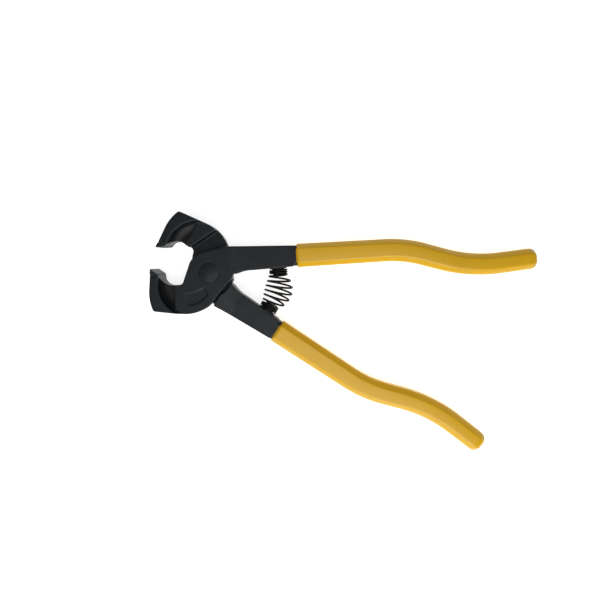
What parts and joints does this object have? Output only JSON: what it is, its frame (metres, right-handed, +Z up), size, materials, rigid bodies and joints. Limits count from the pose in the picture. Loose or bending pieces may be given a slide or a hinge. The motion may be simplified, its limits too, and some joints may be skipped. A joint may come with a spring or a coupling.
{
  "type": "tile nippers",
  "caption": "Tile nippers: forged levers on a rivet, carbide-tipped jaws, a barrel return spring and dipped vinyl grips.",
  "frame": {"origin": "middle of the whole tool's box in X and Y, at the underside of the jaws", "axes": "+X along the tool from the jaws to the handle ends, +Y towards the front lever's handle, +Z up, along the pivot"},
  "size_m": [0.2168, 0.1252, 0.02],
  "materials": {
    "forged_steel": "satin black enamel on forged steel",
    "rivet_steel": "blackened steel, set flush",
    "carbide": "sintered tungsten carbide, ground",
    "braze": "silver braze filler, dull",
    "peg_steel": "blackened turned steel",
    "spring_wire": "black oxide spring wire",
    "dipped_vinyl": "dipped vinyl, satin"
  },
  "bodies": {
    "front_half": {"front_lever": "forged_steel", "pivot_rivet": "rivet_steel", "front_jaw_carbide": "carbide", "front_jaw_braze": "braze", "front_spring_peg": "peg_steel", "front_grip": "dipped_vinyl", "return_spring": "spring_wire"},
    "rear_half": {"rear_lever": "forged_steel", "rear_jaw_carbide": "carbide", "rear_jaw_braze": "braze", "rear_spring_peg": "peg_steel", "rear_grip": "dipped_vinyl"}
  },
  "joints": [
    {"name": "pivot", "type": "hinge", "parent": "front_half", "child": "rear_half", "pos_m": [-0.07622, 0, 0.01], "axis": [0, 0, 1], "range_deg": [-5.7, 21.8], "stiffness_Nm_per_rad": 0.9, "deforming": ["return_spring"]}
  ]
}
